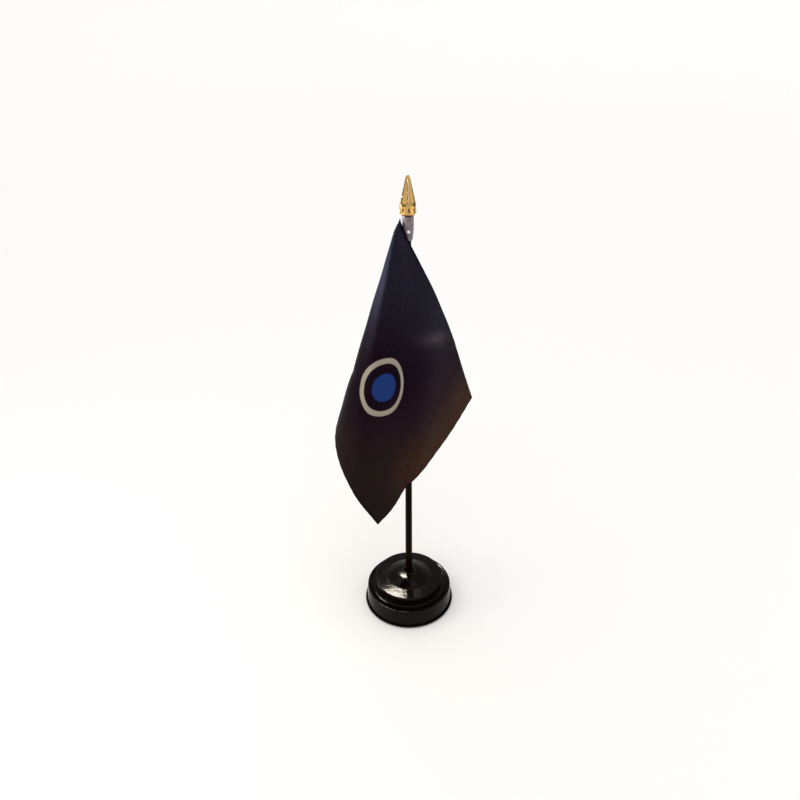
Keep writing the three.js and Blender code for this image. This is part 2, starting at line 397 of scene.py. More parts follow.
@dataclass(frozen=True)
class Satin(Finish):
    """Near-black satin: navy at the top and plum at the fly, with painted warm light at the lower corner and
    along the fly edge, and a painted sheen by the top edge. It may carry a print.

    The cloth's UV map is its flat cut in millimetres: u from the hoist, v from the top edge.
    """

    name: str
    slot: str = "satin"
    printed: bool = False
    navy: Colour = (0.0120, 0.0132, 0.0225)
    dark: Colour = (0.0056, 0.0019, 0.0054)
    # The warm colour and the brown of the fly edge are painted warm light.
    warm: Colour = (0.0128, 0.0082, 0.0064)
    plum: Colour = (0.0150, 0.0062, 0.0118)
    rust_and_warm_light: Colour = (0.0460, 0.0215, 0.0105)
    # The colour of the painted sheen by the top edge.
    painted_highlight: Colour = (0.0560, 0.0440, 0.0540)
    edge: Colour = (0.0008, 0.0008, 0.0012)
    silver: Colour = (0.30, 0.265, 0.215)
    blue: Colour = (0.0120, 0.0340, 0.1500)
    thread: float = 0.24

    def dress(self, shader: Shader, place: Socket) -> None:
        """Adds its nodes."""
        along, down = shader.flat_cloth()
        fall = along * 0.45 + down
        colour = shader.mix(fall.ramp(*DARK_ZONE), self.navy, self.dark)
        colour = shader.mix(along.ramp(*PLUM_ZONE), colour, self.plum)
        # Painted warm light: a warm brown at the lower corner, and a stronger brown along the fly edge.
        colour = shader.mix((along * 0.8 + down * 0.75).ramp(*WARM_ZONE), colour, self.warm)
        fly_edge = along.ramp(*WARM_LIGHT_ALONG) * down.ramp(*WARM_LIGHT_DOWN, 1.0, 0.0)
        colour = shader.mix(fly_edge, colour, self.rust_and_warm_light)
        slubs = shader.noise(shader.place((3.0, 3.0, 0.35)), 900.0, 2.0)
        mottle = shader.noise(place, 420.0, 4.0, 0.7)
        lighter = tuple(2.3 * c for c in self.dark)
        colour = shader.mix(slubs.ramp(0.35, 0.75, 0.0, 0.45), colour, lighter)
        colour = shader.mix(mottle.ramp(0.50, 0.70, 0.0, 0.6), colour, lighter)
        # A painted sheen: a pale, mottled glaze along the crease by the top edge, where the satin catches the
        # light.
        right, below = along - PAINTED_SHEEN_MIDDLE[0], down - PAINTED_SHEEN_MIDDLE[1]
        across = right * -PAINTED_SHEEN_SLANT[1] + below * PAINTED_SHEEN_SLANT[0]
        ahead = right * PAINTED_SHEEN_SLANT[0] + below * PAINTED_SHEEN_SLANT[1]
        wear_and_highlight = (across * across * PAINTED_SHEEN_ACROSS + ahead * ahead * PAINTED_SHEEN_ALONG).math("EXPONENT")
        colour = shader.mix(wear_and_highlight * mottle.ramp(0.25, 0.7, 0.35, 1.0), colour, self.painted_highlight)
        inside = down.smaller(HOIST - down).smaller(FLY - along)
        colour = shader.mix(inside.ramp(*EDGE_ZONE, 0.85, 0.0), colour, self.edge)
        warp = (along * (2 * math.pi / self.thread)).sine() * 0.5 + 0.5
        weft = (down * (2 * math.pi / (self.thread * 4.0)) + along * (math.pi / (self.thread * 2.5))).sine()
        weave = warp * 0.7 + weft * 0.3
        roughness = shader.noise(place, 160.0, 3.0) * 0.12 + weave * 0.05 + 0.32
        if self.printed:
            colour, print_mask = self.device(shader, along, down, colour)
            roughness = roughness + print_mask * 0.15
        shader.set(Base_Color=colour, Roughness=roughness, Specular_IOR_Level=0.012)
        shader.bump(weave, 0.000035)

    def device(self, shader: Shader, along: Socket, down: Socket, cloth: Socket) -> tuple[Socket, Socket]:
        """Prints a plain device in the middle of the cloth: a ring round a disc.

        Args:
            shader: the shader that is being built.
            along: the distance from the hoist.
            down: the distance from the top edge.
            cloth: the colour of the cloth.

        Returns:
            The colour with the print on it, and where the print is.
        """
        rag = (shader.noise(shader.place(), 1500.0, 2.0) - 0.5) * 0.5
        across, below = along - DEVICE_MIDDLE[0], down - DEVICE_MIDDLE[1]
        out = (across * across + below * below).math("SQRT")
        ring = (abs(out - RING_RADIUS) - RING_HALF_WIDTH + rag).ramp(-0.3, 0.3, 1.0, 0.0)
        disc = (out - DISC_RADIUS + rag).ramp(-0.3, 0.3, 1.0, 0.0)
        colour = shader.mix(ring * 0.96, cloth, self.silver)
        return shader.mix(disc * 0.96, colour, self.blue), ring.larger(disc)


@dataclass(frozen=True)
class SewingThread(Finish):
    """Dark twisted polyester thread."""

    name: str = "sewing thread"
    slot: str = "thread"

    def dress(self, shader: Shader, place: Socket) -> None:
        """Adds its nodes."""
        east, _, up = shader.parts(place)
        twist = ((east + up) * 9000.0).sine() * 0.5 + 0.5
        shader.set(
            Base_Color=shader.mix(twist, (0.004, 0.004, 0.006), (0.016, 0.016, 0.021)),
            Roughness=0.6,
            Specular_IOR_Level=0.2,
        )
        shader.bump(twist, 0.00004)


# ---- mesh making ----


def finish_piece(
    name: str, mesh: bmesh.types.BMesh, finish: Finish, body: Body, replaces: Iterable[str] = ()
) -> bpy.types.Object:
    """Makes a piece of a bmesh, dresses it and puts it on its body.

    Args:
        name: the piece's name.
        mesh: its shape, in the frame's own coordinates. It is freed.
        finish: the finish to make and wear.
        body: the body it rides on.
        replaces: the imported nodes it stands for.

    Returns:
        The piece.
    """
    piece = link_mesh(name, mesh, material_of(finish))
    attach(piece, body.value)
    for node in replaces:
        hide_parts(node)
    log.info("%s: %d faces on %s", name, len(piece.data.polygons), body.value)
    return piece


def link_mesh(name: str, mesh: bmesh.types.BMesh, material: bpy.types.Material) -> bpy.types.Object:
    """Turns a bmesh into a smooth-shaded object of the scene, and frees it."""
    data = bpy.data.meshes.new(name)
    mesh.to_mesh(data)
    mesh.free()
    data.materials.append(material)
    data.shade_smooth()
    made = bpy.data.objects.new(name, data)
    bpy.context.scene.collection.objects.link(made)
    return made


def material_of(finish: Finish) -> bpy.types.Material:
    """Gives the finish's material, making it once."""
    return bpy.data.materials.get(finish.name) or finish.make()


def turn(profile: Profile, steps: int = 128) -> bmesh.types.BMesh:
    """Spins a profile of (radius, height) points once round +Z.

    Args:
        profile: the points, from the axis to the axis or round a closed ring.
        steps: how many faces go round.

    Returns:
        The closed solid of revolution.
    """
    mesh = bmesh.new()
    points = [mesh.verts.new((radius, 0.0, height)) for radius, height in profile]
    lines = [mesh.edges.new(pair) for pair in zip(points, points[1:])]
    if profile[0][0] > 0.0:
        lines.append(mesh.edges.new((points[-1], points[0])))
    bmesh.ops.spin(
        mesh, geom=points + lines, cent=(0.0, 0.0, 0.0), axis=(0.0, 0.0, 1.0), dvec=(0.0, 0.0, 0.0),
        angle=2 * math.pi, steps=steps, use_merge=True, use_duplicate=False,
    )
    bmesh.ops.remove_doubles(mesh, verts=mesh.verts, dist=1e-7)
    bmesh.ops.recalc_face_normals(mesh, faces=mesh.faces)
    return mesh


def turned_piece(
    name: str, profile: Profile, steps: int, rounding: float, finish: Finish, body: Body, node: str,
    segments: int = 3, from_angle: float = 25.0,
) -> bpy.types.Object:
    """Turns a profile into a piece with rounded edges.

    Args:
        name: the piece's name.
        profile: its (radius, height) points.
        steps: how many faces go round.
        rounding: the width of its rounded edges.
        finish: the finish that it wears.
        body: the body it rides on.
        node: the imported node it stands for.
        segments: how many faces go round each edge.
        from_angle: the least turn, in degrees, that is rounded.

    Returns:
        The piece.
    """
    mesh = turn(profile, steps)
    least = math.radians(from_angle)
    sharp = [edge for edge in mesh.edges if edge.is_manifold and edge.calc_face_angle() > least]
    bmesh.ops.bevel(
        mesh, geom=sharp, offset=rounding, offset_type="OFFSET", segments=segments, profile=0.5,
        affect="EDGES", material=-1, clamp_overlap=True,
    )
    piece = finish_piece(name, mesh, finish, body, [node])
    piece.modifiers.new("weighted normals", "WEIGHTED_NORMAL").keep_sharp = True
    return piece


def heights(node: str) -> Span:
    """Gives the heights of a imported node's foot and top."""
    low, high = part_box(node)
    return low.z, high.z


def thicken(piece: bpy.types.Object, thickness: float) -> None:
    """Gives a sheet its thickness, half to each side."""
    solidify = piece.modifiers.new("thickness", "SOLIDIFY")
    solidify.thickness = thickness
    solidify.offset = 0.0


# ---- base ----


@dataclass
class Base:
    """The weighted base: a stepped shell with the pole's socket, a closing plate, a pad and an iron ring."""

    flange_radius: float = 27.5 * MM
    drum_foot_radius: float = 26.5 * MM
    drum_rim_radius: float = 25.8 * MM
    drum_rim: float = 12.3 * MM
    step_radius: float = 20.7 * MM
    step_rim: float = 18.3 * MM
    hub_radius: float = 13.2 * MM
    hub_rim: float = 19.4 * MM
    socket_radius: float = 2.45 * MM
    wall: float = 1.8 * MM
    rounding: float = 0.4 * MM
    steps: int = 160
    gloss: MouldedPlastic = MouldedPlastic(
        "gloss black plastic", "black_plastic", (0.0026, 0.0014, 0.0010), (0.05, 0.048, 0.045),
        smooth=0.08, wear_and_highlight=0.18, shine=0.075,
    )

    def build(self) -> None:
        """Makes the shell and the plate, and dresses the weight and the pad."""
        self.make_shell()
        self.make_plate()
        for node, finish in (("base_weight", CastIron()), ("base_pad", PressedFelt())):
            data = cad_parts[node].data
            data.materials.clear()
            data.materials.append(material_of(finish))

    def make_shell(self) -> None:
        """Makes the stepped shell, hollow underneath, with the socket moulded into its hub."""
        low, hub_top = heights("base_shell")
        floor = low + 5.4 * MM
        under_drum = self.drum_rim - self.wall
        under_step = self.step_rim - self.wall
        profile = [
            (0.0, floor - self.wall),
            (self.socket_radius + 2.0 * MM, floor - self.wall),
            (self.socket_radius + 2.0 * MM, under_step + 2.2 * MM),
            (self.hub_radius - self.wall, under_step + 0.6 * MM),
            (self.step_radius - self.wall, under_step),
            (self.step_radius - self.wall, under_drum),
            (self.drum_rim_radius - self.wall, under_drum),
            (self.drum_foot_radius - self.wall, low),
            (self.drum_foot_radius, low),
            (self.drum_rim_radius, self.drum_rim),
            *self.cove(),
            (self.step_radius, self.step_rim),
            (self.hub_radius + 0.35 * MM, self.hub_rim - 0.62 * MM),
            (self.hub_radius, self.hub_rim),
            *self.dome(hub_top),
            (self.socket_radius, hub_top),
            (self.socket_radius, floor),
            (0.0, floor),
        ]
        turned_piece("stepped_shell", profile, self.steps, self.rounding, self.gloss, Body.BASE, "base_shell")

    def cove(self) -> list[tuple[float, float]]:
        """Gives the shallow cove where the drum's top runs up to the second step."""
        outer, inner = self.drum_rim_radius - 1.2 * MM, self.step_radius + 0.1 * MM
        points = []
        for i in range(7):
            share = i / 6
            sunk = 0.55 * MM * math.sin(math.pi * share) + 0.1 * MM * share
            points.append((outer - share * (outer - inner), self.drum_rim - sunk))
        return points

    def dome(self, top: float) -> list[tuple[float, float]]:
        """Gives the hub's dome, which ends in a small raised ring round the socket."""
        ring = self.socket_radius + 1.5 * MM
        crown = top - 0.45 * MM
        points = []
        for i in range(1, 12):
            share = i / 12
            radius = self.hub_radius + (ring - self.hub_radius) * share
            rise = math.sin(share * math.pi / 2) ** 1.15
            points.append((radius, self.hub_rim + (crown - self.hub_rim) * rise))
        return points + [(ring, crown), (ring - 0.25 * MM, top)]

    def make_plate(self) -> None:
        """Makes the closing plate, whose edge is the thin flange round the base."""
        low, high = heights("base_plate")
        profile = [(0.0, low), (self.flange_radius, low), (self.flange_radius, high), (0.0, high)]
        turned_piece("closing_plate", profile, self.steps, 0.35 * MM, self.gloss, Body.BASE, "base_plate")


# ---- staff ----


@dataclass
class Staff:
    """The pole, and the ferrule and gilt spear on its top."""

    foot_radius: float = 2.12 * MM
    top_radius: float = 1.6 * MM
    ferrule_radius: float = 2.85 * MM
    ferrule_bore: float = 1.95 * MM
    spear_radius: float = 4.08 * MM
    spigot_radius: float = 1.6 * MM
    shoulder: float = 0.27
    facing: float = math.radians(-90.0 + 9.0)
    rib_half_angle: float = 7.0
    facet_step: float = 0.095
    facet_hollow: float = 0.165
    dimple_height: float = 2.7 * MM
    dimple_half_width: float = 0.72 * MM
    dimple_half_height: float = 1.5 * MM
    dimple_depth: float = 0.12
    pole_finish: MouldedPlastic = MouldedPlastic(
        "pole plastic", "pole_plastic", (0.0034, 0.0012, 0.0004), (0.04, 0.035, 0.03),
        smooth=0.16, wear_and_highlight=0.32, shine=0.03,
    )
    ferrule_finish: Metallised = Metallised(
        "grey ferrule film", "grey_metal", (0.20, 0.165, 0.178), (0.13, 0.105, 0.115), 0.38, 0.55, metal=0.7
    )

    def build(self) -> None:
        """Makes the pole, the ferrule with its pin, and the spear."""
        self.make_pole()
        self.make_ferrule()
        self.make_pin()
        self.make_spear()

    def make_pole(self) -> None:
        """Makes the tapered pole."""
        low, high = heights("pole")
        profile = [(0.0, low), (self.foot_radius, low), (self.top_radius, high), (0.0, high)]
        turned_piece("tapered_pole", profile, 48, 0.3 * MM, self.pole_finish, Body.STAFF, "pole")

    def make_ferrule(self) -> None:
        """Makes the ferrule, whose mouth is drawn in to the pole."""
        low, high = heights("finial_ferrule")
        profile = [(self.ferrule_bore, low)]
        for i in range(10):
            share = i / 10
            drawn_in = 0.68 * MM * (1.0 - share) ** 2.2
            profile.append((self.ferrule_radius - drawn_in, low + 7.5 * MM * share))
        profile += [
            (self.ferrule_radius, low + 7.5 * MM),
            (self.ferrule_radius, high - 0.7 * MM),
            (self.ferrule_radius - 0.1 * MM, high - 0.6 * MM),
            (self.ferrule_radius - 0.1 * MM, high - 0.45 * MM),
            (self.ferrule_radius, high - 0.35 * MM),
            (self.ferrule_radius - 0.05 * MM, high),
            (self.ferrule_bore, high),
        ]
        finish = self.ferrule_finish
        turned_piece("ferrule", profile, 96, 0.08 * MM, finish, Body.STAFF, "finial_ferrule", 2, 40.0)

    def make_pin(self) -> None:
        """Makes the small pin head that holds the ferrule to the pole. Its near-white colour is a painted
        glint.
        """
        low, _ = heights("finial_ferrule")
        mesh = bmesh.new()
        bmesh.ops.create_uvsphere(mesh, u_segments=24, v_segments=16, radius=0.68 * MM)
        bmesh.ops.scale(mesh, vec=(1.0, 0.45, 1.0), verts=mesh.verts)
        place = (0.35 * MM, -self.ferrule_radius + 0.1 * MM, low + 4.6 * MM)
        bmesh.ops.translate(mesh, vec=place, verts=mesh.verts)
        # A painted glint: the pin head is coloured near-white and rough, so it shows as a white dot under any
        # light.
        pale, dull = (0.9, 0.9, 0.88), (0.82, 0.81, 0.79)
        bright = Metallised("pale pin", "grey_metal", pale, dull, 0.3, 0.4, metal=0.15)
        finish_piece("ferrule_pin", mesh, bright, Body.STAFF)

    def make_spear(self) -> None:
        """Makes the fluted spear: a chamfered collar with oval dimples under four hollow facets."""
        low, high = heights("finial_spear")
        collar = low + 3.6 * MM
        profile = [(0.0, low), (self.spigot_radius, low), (self.spigot_radius, collar)]
        widest = self.spear_radius
        profile += [(widest - 1.15 * MM, collar), (widest - 0.35 * MM, collar + 0.55 * MM)]
        steps = 60
        for i in range(steps + 1):
            height = collar + 0.9 * MM + (high - collar - 0.9 * MM) * i / steps
            profile.append((self.spear_outline((height - collar) / (high - collar)), height))
        profile.append((0.0, high))
        mesh = turn(profile, 180)
        recess = mesh.verts.layers.float.new("recess")
        for vert in mesh.verts:
            vert[recess] = self.flute(vert.co, collar, high)
        gilt = Metallised(
            "gilt film", "gilt", (0.60, 0.385, 0.125), (0.47, 0.285, 0.085), 0.12, 0.28, high - 0.5 * MM,
            recess=True,
        )
        finish_piece("fluted_spear", mesh, gilt, Body.STAFF, ["finial_spear"])

    def spear_outline(self, share: float) -> float:
        """Gives the spear's radius at a share of its height above the collar's underside."""
        if share < self.shoulder:
            return self.spear_radius * (1.0 - 0.06 * (share / self.shoulder) ** 2)
        taper = (share - self.shoulder) / (1.0 - self.shoulder)
        return self.spear_radius * 0.94 * (1.0 - 0.79 * taper) * math.sqrt(max(1.0 - taper ** 24, 0.0))

    def flute(self, place: Vector, collar: float, tip: float) -> float:
        """Cuts one point of the spear: four facets between narrow ribs, and a ring of oval dimples below.

        Args:
            place: the point, which is moved.
            collar: the height of the collar's underside.
            tip: the height of the tip.

        Returns:
            How far the point is down a groove or a dimple, from 0 to 1, or below 0 on a rib, where a
            highlight is painted.
        """
        radius = math.hypot(place.x, place.y)
        if place.z <= collar or radius < 0.05 * MM:
            return 0.0
        angle = math.atan2(place.y, place.x) - self.facing
        share = (place.z - collar) / (tip - collar)
        from_rib = abs(math.degrees(math.remainder(angle, math.pi / 2)))
        rib = self.rib_half_angle + 4.0 * smooth(share, 0.55, 0.95)
        facet = self.facet_step * smooth(from_rib, rib, rib + 6.0)
        facet += self.facet_hollow * math.sin(max(from_rib - rib, 0.0) / (45.0 - rib) * math.pi / 2)
        arch = 0.245 + 0.085 * (1.0 - smooth(from_rib, rib, 40.0))
        rise = smooth(share, arch, arch + 0.045)
        cut = facet * rise * (1.0 - smooth(share, 0.93, 1.0))
        # How deep a point lies in a groove beside a rib, on a facet's lower lip or in a dimple; shade is
        # painted there.
        groove = band(from_rib, rib - 1.0, rib + 3.0, rib + 5.0, rib + 12.0)
        lip = band(share, arch - 0.03, arch + 0.01, arch + 0.03, arch + 0.06)
        deep = max(groove * rise * (1.0 - smooth(share, 0.86, 0.97)), 0.8 * lip * smooth(from_rib, 8.0, 20.0))
        across = math.remainder(angle, math.pi / 4) * self.spear_radius
        rise_to_dimple = place.z - collar - self.dimple_height
        oval = math.hypot(across / self.dimple_half_width, rise_to_dimple / self.dimple_half_height)
        if oval < 1.0:
            cut += self.dimple_depth * math.sqrt(1.0 - oval ** 2)
            deep = max(deep, smooth(1.0 - oval, 0.05, 0.5))
        place.x *= 1.0 - cut
        place.y *= 1.0 - cut
        # Where a highlight is painted along the ribs.
        wear_and_highlight = (1.0 - smooth(from_rib, 0.0, rib)) * band(share, 0.3, 0.42, 0.8, 0.95)
        return deep if deep > 0.02 else -wear_and_highlight


# ---- flag ----


@dataclass
class Drape:
    """How the flag hangs: where each point of the flat cloth is.

    Near the hoist the cloth is a cone whose tip is the top corner. It leaves the pole backwards, loops round
    to the left and comes across in front. The cone's directions are (sideways, backwards) for a drop of one,
    evenly spaced in the angle that they cut from the flat cloth. Past the last of them the cloth is a
    fly-side wing, which bends back round the pole and then runs straight.
    """

    corner: Vector
    fly: float = FLY * MM
    hoist: float = HOIST * MM
    directions: tuple[tuple[float, float], ...] = (
        (0.004, 0.03), (-0.06, 0.18), (-0.17, 0.26), (-0.28, 0.16),
        (-0.295, 0.0), (-0.19, -0.12), (-0.055, -0.068), (0.033, -0.012),
    )
    cone_angle: float = math.radians(66.0)
    wing_start: float = math.radians(14.0)
    wing_end: float = math.radians(52.0)
    bend_length: float = 20.0 * MM
    droop: float = 0.085
    clearance: float = 3.4 * MM
    ridge_radius: float = 9.0 * MM
    ridge_softness: float = 1.2 * MM
    clearance_from: float = math.radians(40.0)
    bend_reach: float = 90.0 * MM
    bend_samples: int = 901
    top_bow: float = 1.9 * MM
    fly_curl: float = 2.6 * MM
    curl_back: float = 1.4 * MM
    corner_out: float = 1.9 * MM
    corner_up: float = 1.3 * MM
    tip_in: float = 0.9 * MM
    tip_reach: float = 7.0 * MM

    def __post_init__(self) -> None:
        """Works out the wing's bend once, as its offsets along the cloth."""
        self.bend_steps = np.linspace(0.0, self.bend_reach, self.bend_samples)
        turn_share = np.clip(self.bend_steps / self.bend_length, 0.0, 1.0)
        heading = self.wing_start + (self.wing_end - self.wing_start) * turn_share ** 2 * (3 - 2 * turn_share)
        step = self.bend_steps[1]
        self.bend_x = np.concatenate(([0.0], np.cumsum(np.cos(heading[:-1]) * step)))
        self.bend_y = np.concatenate(([0.0], np.cumsum(np.sin(heading[:-1]) * step)))

    def direction(self, share: float) -> Vector:
        """Gives the cone's unit direction at a share of its angle."""
        span = len(self.directions) - 1
        first = min(int(share * span), span - 1)
        t = share * span - first
        before, start, end, after = (self.control(first + k) for k in (-1, 0, 1, 2))
        out, into = (end - before) / 2, (after - start) / 2
        cubic = 2 * start - 2 * end + out + into
        square = 3 * end - 3 * start - 2 * out - into
        return (cubic * t ** 3 + square * t ** 2 + out * t + start).normalized()

    def control(self, index: int) -> Vector:
        """Gives one of the cone's directions, carried on past either end."""
        last = len(self.directions) - 1
        if index < 0:
            return 2 * self.control(0) - self.control(1)
        if index > last:
            return 2 * self.control(last) - self.control(last - 1)
        return Vector((*self.directions[index], -1.0))

    def hang(self, from_hoist: float, from_top: float) -> Vector:
        """Gives where a point of the flat cloth hangs.

        Args:
            from_hoist: its distance from the hoist.
            from_top: its distance from the top edge.

        Returns:
            Its place.
        """
        reach = math.hypot(from_hoist, from_top)
        angle = math.atan2(from_hoist, from_top)
        past = max(angle - self.cone_angle, 0.0)
        drooped = 1.0 - self.droop * past / (math.pi / 2 - self.cone_angle)
        place = self.direction(min(angle / self.cone_angle, 1.0)) * (reach * math.cos(past) * drooped)
        place += self.corner
        width = reach * math.sin(past)
        place.x += float(np.interp(width, self.bend_steps, self.bend_x))
        place.y += float(np.interp(width, self.bend_steps, self.bend_y))
        if angle > self.clearance_from:
            front = place.x ** 2 / (2 * self.ridge_radius) - self.clearance
            gap = abs(place.y - front) / self.ridge_softness
            place.y = min(place.y, front) - self.ridge_softness * math.log1p(math.exp(-gap))
        return self.settle(place, from_hoist / self.fly, from_top / self.hoist)

    def settle(self, place: Vector, along: float, down: float) -> Vector:
        """Moves a hanging point a little: the top edge bows out, and the fly's edge and lower corner curl in.

        Args:
            place: the point, which is moved.
            along: its share of the way from the hoist to the fly.
            down: its share of the way from the top edge to the bottom.

        Returns:
            The point.
        """
        bow = bell(along, 0.52, 0.25) * (1.0 - smooth(down, 0.0, 0.4))
        curl = smooth(along, 0.66, 1.0) * bell(down, 0.5, 0.2)
        corner = smooth(down, 0.66, 1.0) * smooth(along, 0.45, 1.0)
        tip = 1.0 - smooth(math.hypot(along * self.fly, down * self.hoist), 0.0, self.tip_reach)
        place.x += self.top_bow * bow - self.fly_curl * curl + self.corner_out * corner + self.tip_in * tip
        place.y += self.curl_back * curl
        place.z += self.corner_up * corner
        return place

    def normal(self, from_hoist: float, from_top: float) -> Vector:
        """Gives the cloth's unit normal at a point, out of its reverse side."""
        step = 0.4 * MM
        hoist_side, top_side = max(from_hoist - step, 0.0), max(from_top - step, 0.0)
        along = self.hang(from_hoist + step, from_top) - self.hang(hoist_side, from_top)
        down = self.hang(from_hoist, from_top + step) - self.hang(from_hoist, top_side)
        return along.cross(down).normalized()


@dataclass
class Flag:
    """The satin flag: its cloth, the hems folded to the reverse, the pole pocket and the stitching."""

    drape: Drape
    hem: float = 4.0 * MM
    thickness: float = 0.22 * MM
    gap: float = 0.06 * MM
    columns: int = 176
    rows: int = 128
    folds: int = 5
    pocket_radius: float = 2.45 * MM
    pocket_round: float = 22.8 * MM
    pocket_length: float = 93.5 * MM
    pocket_faces: tuple[int, int] = (48, 150)
    mouth_flare: float = 0.85 * MM
    flare_heights: tuple[float, float] = (228.0 * MM, 235.5 * MM)
    pitch: float = 2.3 * MM
    stitch_length: float = 1.5 * MM
    stitch_width: float = 0.26 * MM
    show_through: Satin = Satin(
        "reverse of printed satin", printed=True,
        silver=(0.040, 0.034, 0.028), blue=(0.004, 0.009, 0.040),
    )

    def build(self) -> None:
        whole = (0.0, self.drape.fly), (0.0, self.drape.hoist), (self.columns, self.rows)
        printed = Satin("printed satin", printed=True)
        cloth = self.lay("satin_flag", *whole, partial(self.hang, 0.0), printed, ["flag_cloth"])
        hems = self.make_hems()
        pocket = self.make_pocket()
        stitching = self.make_stitching()
        cloth.data.materials.append(material_of(self.show_through))
        cloth.modifiers["thickness"].material_offset = 1

    def wrinkle(self, from_hoist: float, from_top: float) -> float:
        """Gives how far the cloth stands off the plain drape: soft undulations, creases and hem puckers."""
        u, v = from_hoist / MM, from_top / MM
        fade = min(math.hypot(u, v) / 30.0, 1.0)
        soft = 0.20 * math.sin(u / 9.5 + 0.7 * math.sin(v / 17.0)) * math.sin(v / 13.0 + 1.1)
        soft += 0.12 * math.sin(u / 5.1 + v / 11.0 + 2.0) * math.sin(v / 23.0 + u / 31.0)
        creases = sum(self.crease(u, v, *crease) for crease in CREASES)
        edge = max(min(v, HOIST - v, FLY - u), 0.0)
        pucker = 0.09 * math.sin(u * 1.05 + 0.6 * math.sin(u / 7.0)) * math.sin(v * 0.95)
        pucker *= max(1.0 - edge / 9.0, 0.0)
        return ((soft + pucker) * fade + creases) * MM

    @staticmethod
    def crease(u: float, v: float, start: Span, end: Span, height: float, width: float) -> float:
        """Gives a fold line's height at a point of the flat cloth, all in millimetres.

        Args:
            u: the point's distance from the hoist.
            v: its distance from the top edge.
            start: where the line starts.
            end: where it ends.
            height: how far its top stands off the cloth.
            width: how far its sides reach.

        Returns:
            The height there.
        """
        run, fall = end[0] - start[0], end[1] - start[1]
        length = math.hypot(run, fall)
        along = ((u - start[0]) * run + (v - start[1]) * fall) / length
        across = ((u - start[0]) * fall - (v - start[1]) * run) / length
        ends = band(along, -4.0, 5.0, length - 5.0, length + 4.0)
        return height * math.exp(-abs(across) / width) * ends

    def lay(
        self, name: str, across: Span, below: Span, faces: tuple[int, int],
        place: Callable[[float, float], Vector], finish: Satin, replaces: Sequence[str],
    ) -> bpy.types.Object:
        """Cuts a rectangle of cloth and puts each point of it in its place.

        Args:
            name: the piece's name.
            across: where it starts and ends, from the hoist.
            below: where it starts and ends, from the top edge.
            faces: how many faces go across it and down it.
            place: gives a point's place from its distances from the hoist and the top edge.
            finish: its finish.
            replaces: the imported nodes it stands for.

        Returns:
            The piece.
        """
        mesh = bmesh.new()
        bmesh.ops.create_grid(mesh, x_segments=faces[0], y_segments=faces[1], size=0.5)
        uv = mesh.loops.layers.uv.new("flat cloth")
        for vert in mesh.verts:
            vert.co.x = across[0] + (vert.co.x + 0.5) * (across[1] - across[0])
            vert.co.y = below[0] + (0.5 - vert.co.y) * (below[1] - below[0])
        for face in mesh.faces:
            for loop in face.loops:
                loop[uv].uv = (loop.vert.co.x / MM, loop.vert.co.y / MM)
        for vert in mesh.verts:
            vert.co = place(vert.co.x, vert.co.y)
        piece = finish_piece(name, mesh, finish, Body.FLAG, replaces)
        thicken(piece, self.thickness)
        return piece

    def hang(self, lift: float, from_hoist: float, from_top: float) -> Vector:
        """Gives where a point of the wrinkled flag hangs, lifted off its middle towards the reverse."""
        shift = lift + self.wrinkle(from_hoist, from_top)
        return self.drape.hang(from_hoist, from_top) + self.drape.normal(from_hoist, from_top) * shift

    def make_hems(self) -> list[bpy.types.Object]:
        """Makes the three hems, each a strip folded to the reverse and lying against the cloth."""
        fly, hoist = self.drape.fly, self.drape.hoist
        across, down = (self.columns, self.folds), (self.folds, self.rows)
        strips = [
            ("top_hem", (0.0, fly), (0.0, self.hem), across),
            ("bottom_hem", (0.0, fly), (hoist - self.hem, hoist), across),
            ("fly_hem", (fly - self.hem, fly), (self.hem, hoist - self.hem), down),
        ]
        place = partial(self.hang, self.thickness + self.gap)
        return [self.lay(name, *cut, place, Satin("plain satin"), [f"flag_{name}"]) for name, *cut in strips]

    def make_pocket(self) -> bpy.types.Object:
        """Makes the pole pocket: a tube of cloth that runs from the flag's edge round the pole and back."""
        cut = (-self.pocket_round, 0.0), (0.0, self.pocket_length), self.pocket_faces
        place = partial(self.pocket_point, *heights("flag_sleeve"))
        return self.lay("pole_pocket", *cut, place, Satin("plain satin"), ["flag_sleeve"])

    def pocket_point(self, low: float, high: float, past_seam: float, from_top: float) -> Vector:
        """Gives a point of the pocket.

        Args:
            low: the lower mouth's height.
            high: the upper mouth's height on the side away from the seam.
            past_seam: the point's distance round the pole from the seam, below 0.
            from_top: its distance down the flat cut.

        Returns:
            Its place.
        """
        around = 1.0 + past_seam / self.pocket_round
        up = 1.0 - from_top / self.pocket_length
        near_seam = abs(2.0 * around - 1.0)
        top = high + (self.drape.corner.z - 1.5 * MM - high) * smooth(near_seam, 0.35, 1.0)
        height = low + (top - low) * up
        edge = self.drape.hang(0.0, min(max(self.drape.corner.z - height, 0.0), self.drape.hoist))
        seam_angle = math.atan2(edge.y, edge.x)
        angle = seam_angle + 2 * math.pi * around
        gathers = 0.10 * MM * math.sin(5 * angle + height * 260.0) * math.sin(height * 410.0 + 2.0)
        radius = self.pocket_radius + gathers + self.mouth_flare * smooth(height, *self.flare_heights)
        ring = Vector((radius * math.cos(angle), radius * math.sin(angle), height))
        seam = Vector((edge.x, edge.y, height))
        return ring.lerp(seam, smooth(near_seam, 0.70, 1.0))

    def make_stitching(self) -> bpy.types.Object:
        """Makes the rows of stitches down the pocket's seam and along the three hems, on both faces."""
        fly, hoist, inset = self.drape.fly, self.drape.hoist, self.hem - 1.0 * MM
        mesh = bmesh.new()
        runs = [
            ((inset, inset), (fly - inset, inset)),
            ((fly - inset, inset), (fly - inset, hoist - inset)),
            ((inset, hoist - inset), (fly - inset, hoist - inset)),
            ((2.4 * MM, 6.0 * MM), (2.4 * MM, hoist - 1.0 * MM)),
        ]
        for start, end in runs:
            for side in Face:
                self.stitch_run(mesh, Vector(start), Vector(end), side)
        return finish_piece("hem_stitches", mesh, SewingThread(), Body.FLAG, ["sleeve_seam_thread"])

